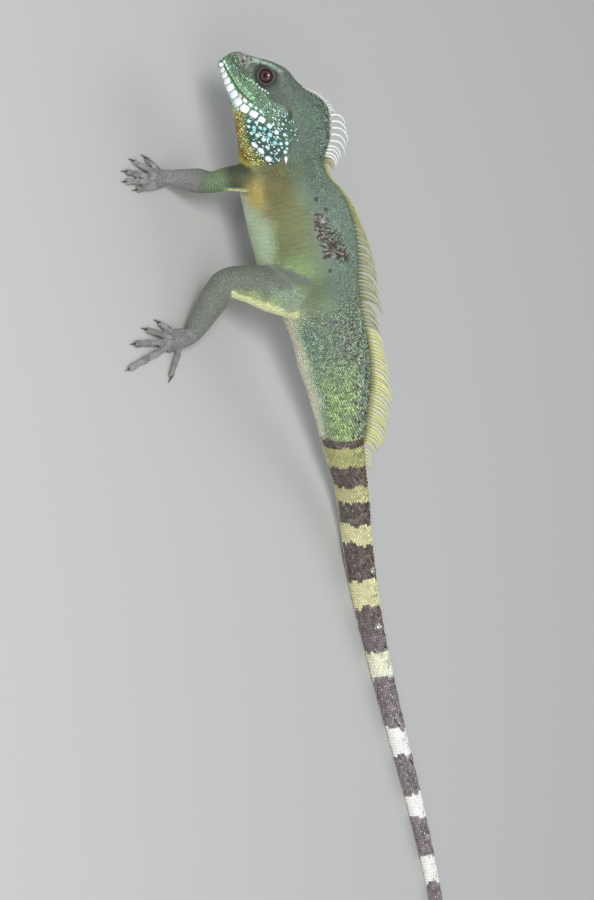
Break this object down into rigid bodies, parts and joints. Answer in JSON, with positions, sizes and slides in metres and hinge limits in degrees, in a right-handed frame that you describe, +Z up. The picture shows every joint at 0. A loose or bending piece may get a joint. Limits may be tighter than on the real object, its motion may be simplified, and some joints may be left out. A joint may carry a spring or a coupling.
{
  "type": "chinese water dragon lizard",
  "caption": "Life-size water dragon lizard standing with its head cocked: crested neck, back and tail base, splayed clawed legs and a very long tail laid out behind.",
  "frame": {"origin": "on the floor, under the centre of the lizard's bounding box", "axes": "-X the way the lizard faces, +X towards the tip of its tail, -Y its left side, +Z up from the floor it stands on"},
  "size_m": [0.8248, 0.2862, 0.1215],
  "materials": {
    "head_skin": "scaly grey-green skin with pale jaw plates and a yellow throat",
    "trunk_skin": "finely granular olive-green skin with pale crest spines",
    "tail_skin": "keeled scales, dark brown-grey with pale bands",
    "leg_skin": "scaly grey to green skin with grey digits and horny claws",
    "eye": "wet, with a dark reddish-brown iris and a round pupil"
  },
  "bodies": {
    "root": {"head": "head_skin", "eye_left": "eye", "eye_right": "eye", "neck": "trunk_skin", "torso": "trunk_skin", "tail_base": "tail_skin", "tail_front": "tail_skin", "tail_middle": "tail_skin", "tail_rear": "tail_skin", "tail_end": "tail_skin", "upper_arm_left": "leg_skin", "forearm_left": "leg_skin", "hand_left": "leg_skin", "upper_arm_right": "leg_skin", "forearm_right": "leg_skin", "hand_right": "leg_skin", "thigh_left": "leg_skin", "shank_left": "leg_skin", "foot_left": "leg_skin", "thigh_right": "leg_skin", "shank_right": "leg_skin", "foot_right": "leg_skin"}
  },
  "joints": []
}
